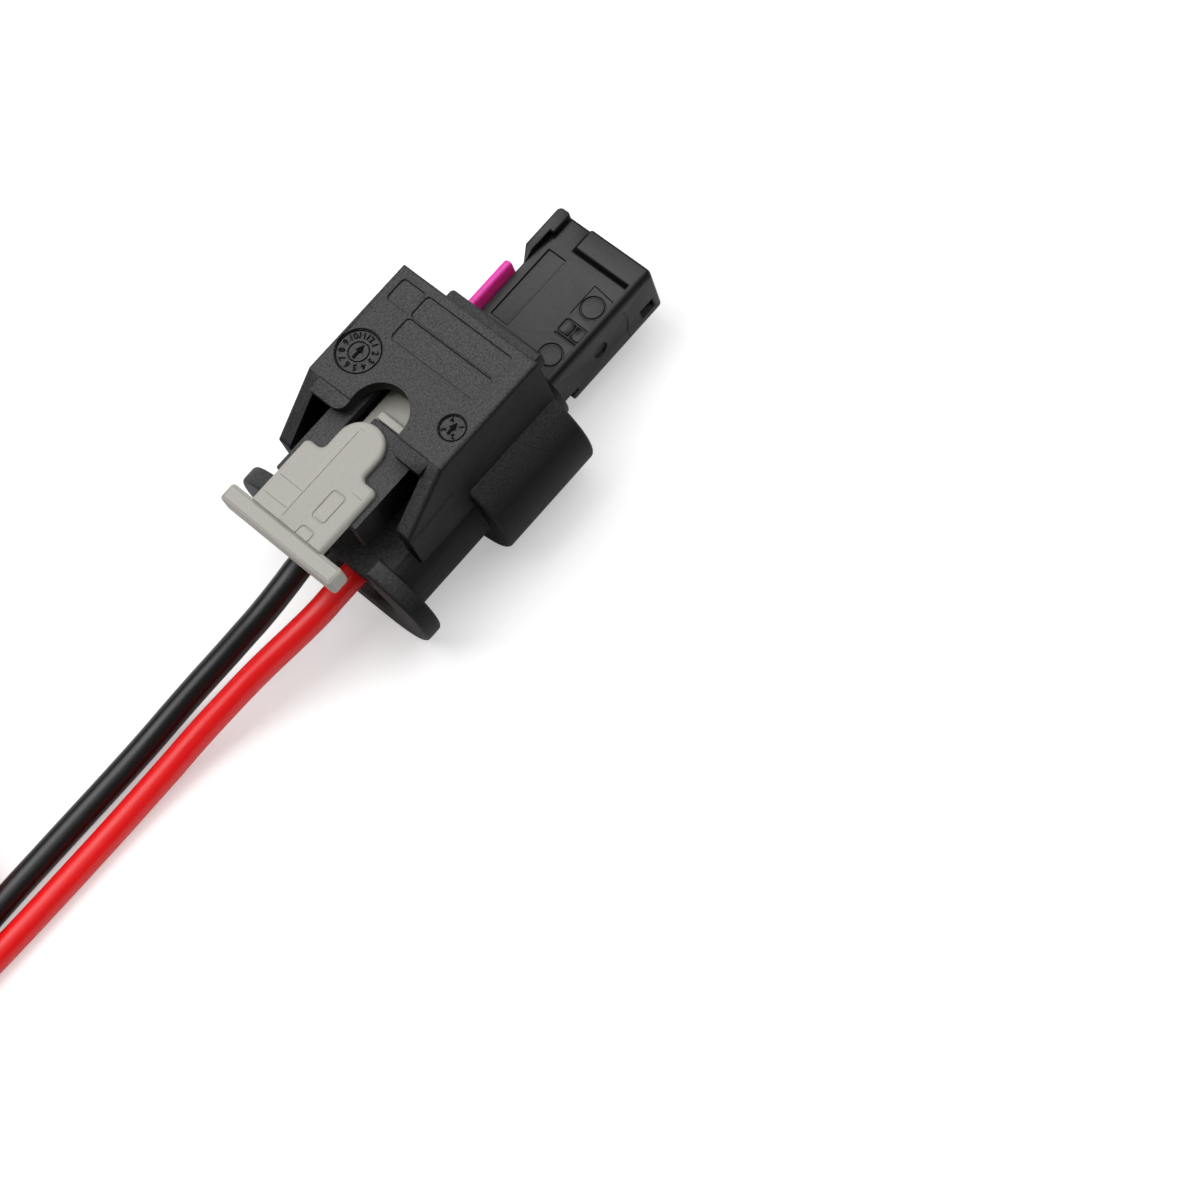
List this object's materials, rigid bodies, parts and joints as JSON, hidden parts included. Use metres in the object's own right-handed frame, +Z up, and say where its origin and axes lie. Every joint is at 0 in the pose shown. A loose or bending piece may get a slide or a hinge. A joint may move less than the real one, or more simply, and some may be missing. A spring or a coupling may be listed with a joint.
{
  "type": "sealed plug connector",
  "caption": "Sealed plug connector with a latch cover, rocking latch lever, position-assurance slide, secondary terminal lock, and crimped wires that lead to a tied coil",
  "frame": {"origin": "on the floor under the middle of the connector's length, on its plane of symmetry", "axes": "+X along the connector towards the mating half, +Y across it to the side of the black wire and the secondary lock, +Z up through the latch cover"},
  "size_m": [0.093, 0.0368, 0.0173],
  "materials": {
    "housing_plastic": "glass-filled plastic, fine spark-eroded texture",
    "carrier_plastic": "glass-filled plastic, smoother than the housing",
    "seal_rubber": "moulded silicone rubber",
    "lock_plastic": "smooth moulded plastic",
    "slide_plastic": "satin moulded plastic",
    "terminal_tin": "tin-plated copper alloy sheet",
    "sleeve_steel": "spring steel sheet",
    "strand_copper": "bare copper strands",
    "black_insulation": "smooth extruded insulation",
    "red_insulation": "smooth extruded insulation",
    "tie_plastic": "plastic tie tape"
  },
  "bodies": {
    "shell": {"housing": "housing_plastic", "contact_carrier": "carrier_plastic", "radial_seal": "seal_rubber", "terminal_black": "terminal_tin", "terminal_red": "terminal_tin", "spring_sleeve_black": "sleeve_steel", "spring_sleeve_red": "sleeve_steel", "strands_black": "strand_copper", "strands_red": "strand_copper", "wire_seal_black": "seal_rubber", "wire_seal_red": "seal_rubber", "wire_black": "black_insulation", "wire_red": "red_insulation", "coil_black": "black_insulation", "coil_red": "red_insulation", "coil_tie": "tie_plastic"},
    "latch": {"latch_lever": "housing_plastic"},
    "slide": {"assurance_slide": "slide_plastic"},
    "lock": {"secondary_lock": "lock_plastic"}
  },
  "joints": [
    {"name": "latch_rock", "type": "hinge", "parent": "shell", "child": "latch", "pos_m": [-0.0029, 0, 0.0135], "axis": [0, -1, 0], "range_deg": [0, 6], "stiffness_Nm_per_rad": 0.5},
    {"name": "assurance_travel", "type": "slide", "parent": "latch", "child": "slide", "axis": [1, 0, 0], "range_m": [0, 0.0027]},
    {"name": "lock_travel", "type": "slide", "parent": "shell", "child": "lock", "axis": [0, 1, 0], "range_m": [0, 0.0015]}
  ]
}
